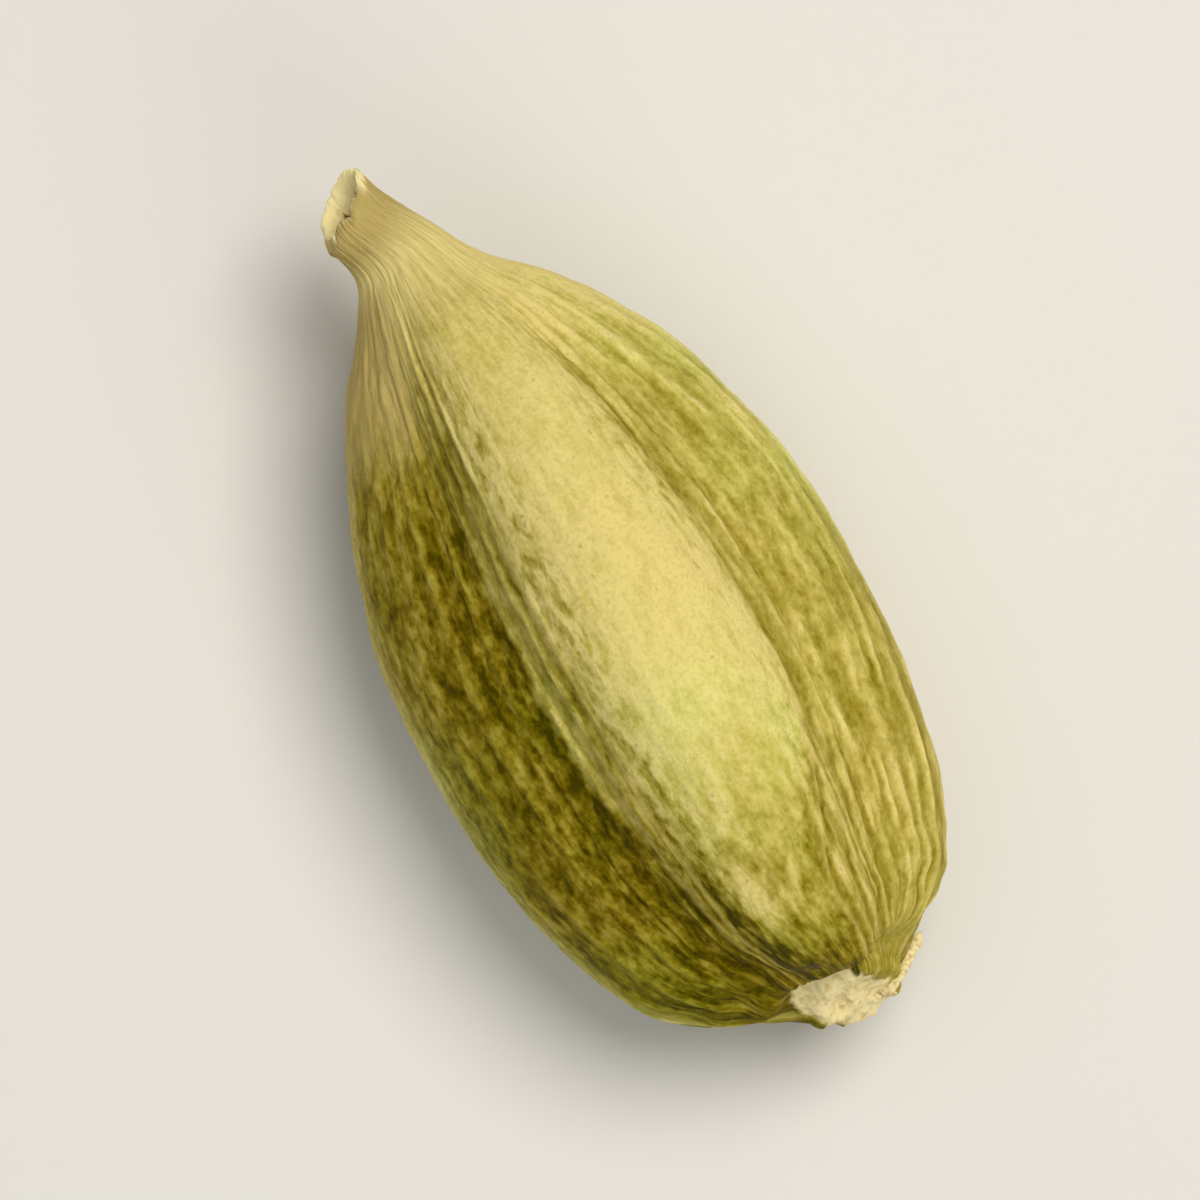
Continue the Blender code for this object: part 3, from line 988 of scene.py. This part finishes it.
    tree.links.new(mapped["rough"], shader.inputs["Roughness"])
    for name, value in (("IOR", d["ior"]), ("Specular IOR Level", d["specular"]),
                        ("Sheen Weight", d["sheen"]), ("Sheen Roughness", d["sheenRoughness"]),
                        ("Sheen Tint", linear(d["wax"])), ("Specular Tint", linear(d["wax"]))):
        shader.inputs[name].default_value = value

    # the skin's relief ends where the wall is torn, and there the broken edge has its own
    skin = addNode(tree, "ShaderNodeMath", {"operation": "SUBTRACT"}, {0: 1.0, 1: at["pale"]}).outputs[0]
    bumps = {"Normal": None}
    for name, strength, depth in d["bumps"]:
        height = {0: pattern[name], 1: at["pale"] if name == "broken" else skin}
        bumps["Height"] = addNode(tree, "ShaderNodeMath", {"operation": "MULTIPLY"}, height).outputs[0]
        bumps.update({"Strength": strength, "Distance": depth * mm})
        bumps["Normal"] = addNode(tree, "ShaderNodeBump", inputs=bumps).outputs["Normal"]
    tree.links.new(bumps["Normal"], shader.inputs["Normal"])
    return material


tornStalk = {
    # dry fibre of the broken stalk: cream and matt, with brown between its strands
    "fibre": ((0.3, "#bfa366"), (0.55, "#f1e1a8")),
    "strandSize": 0.09,         # mm
    "bump": (0.6, 0.02),        # strength and depth in mm
    "roughness": 0.75,
}


def makeTornStalk():
    d = tornStalk
    material, tree, shader = newMaterial("tornStalkFibre")
    coords = addNode(tree, "ShaderNodeTexCoord").outputs["Object"]
    strands = {"Vector": coords, "Scale": 1 / (d["strandSize"] * mm), "Detail": 3, "Roughness": 0.5}
    strands = addNode(tree, "ShaderNodeTexNoise", inputs=strands).outputs["Fac"]
    fibre = addNode(tree, "ShaderNodeValToRGB", inputs={"Fac": strands}, stops=d["fibre"])
    tree.links.new(fibre.outputs["Color"], shader.inputs["Base Color"])
    shader.inputs["Roughness"].default_value = d["roughness"]
    strength, depth = d["bump"]
    relieved = {"Height": strands, "Strength": strength, "Distance": depth * mm}
    bump = addNode(tree, "ShaderNodeBump", inputs=relieved)
    tree.links.new(bump.outputs["Normal"], shader.inputs["Normal"])
    return material


pod.data.materials.append(makeDriedHusk())
stalkFibre = makeTornStalk()
for piece in slivers:
    piece.data.materials.append(stalkFibre)
print("finishes: dried husk and torn stalk fibre")


# floor, light and camera

stage = {
    # sizes and distances in m
    "floorSize": 0.6,
    "floorColour": "#e7e6e3",
    "floorRoughness": 0.9,
    "floorIor": 1.3,
    "podOnPhoto": 123,          # degrees from stalk to beak on the photograph, counted from its right edge
    "frameWidth": 23.5,         # mm that the picture takes in at the height of the pod's middle
    "distance": 0.22,
    "nearest": 0.01,            # what the camera still sees
    # direction as the picture's right, its up and towards the camera, then distance, size, watts and colour
    "lights": {
        "keyLight": ((0.30, 0.32, 1), 0.35, 0.2, 0.86, "#fff9ee"),
        "skyLight": ((-0.3, 0, 1), 0.45, 0.45, 0.28, "#f8faff"),
        "stalkLight": ((0.545, -0.839, 0.55), 0.35, 0.25, 0.30, "#fff9ee"),
    },
    "roomColour": "#f6f5f0",
    "roomStrength": 0.22,
}


def makeFloor():
    deselectAll()
    bpy.ops.mesh.primitive_plane_add(size=stage["floorSize"], location=(0, 0, 0))
    floor = bpy.context.object
    floor.name = "floor"
    material, tree, shader = newMaterial("mattPaper")
    shader.inputs["Base Color"].default_value = linear(stage["floorColour"])
    shader.inputs["Roughness"].default_value = stage["floorRoughness"]
    shader.inputs["IOR"].default_value = stage["floorIor"]
    floor.data.materials.append(material)


def makeCamera(turned):
    data = bpy.data.cameras.new("camera")
    data.sensor_width = 36
    data.lens = data.sensor_width * stage["distance"] / (stage["frameWidth"] * mm)
    data.clip_start = stage["nearest"]
    camera = bpy.data.objects.new("camera", data)
    bpy.context.collection.objects.link(camera)
    height = (huskLow.z + huskHigh.z) / 2
    camera.matrix_world = Matrix.Translation((0, 0, height + stage["distance"])) @ turned
    bpy.context.scene.camera = camera


def makeLight(name, direction, distance, size, watts, colour):
    light = bpy.data.lights.new(name, "AREA")
    light.shape = "DISK"
    light.size = size
    light.energy = watts
    light.color = linear(colour)[:3]
    lamp = bpy.data.objects.new(name, light)
    bpy.context.collection.objects.link(lamp)
    towards = direction.normalized()
    lamp.location = towards * distance
    lamp.rotation_euler = towards.to_track_quat("Z", "Y").to_euler()


def lightRoom():
    room = bpy.data.worlds.new("studio")
    room.use_nodes = True
    background = room.node_tree.nodes["Background"]
    background.inputs["Color"].default_value = linear(stage["roomColour"])
    background.inputs["Strength"].default_value = stage["roomStrength"]
    bpy.context.scene.world = room


# the pod's beak points along -X; on the photograph it points up and to the left
turned = Matrix.Rotation(math.pi - math.radians(stage["podOnPhoto"]), 4, "Z")
makeFloor()
makeCamera(turned)
for name, (direction, *lamp) in stage["lights"].items():
    makeLight(name, turned @ Vector(direction), *lamp)
lightRoom()
bpy.context.scene.view_settings.view_transform = "Standard"
print("stage: floor, camera and lights")
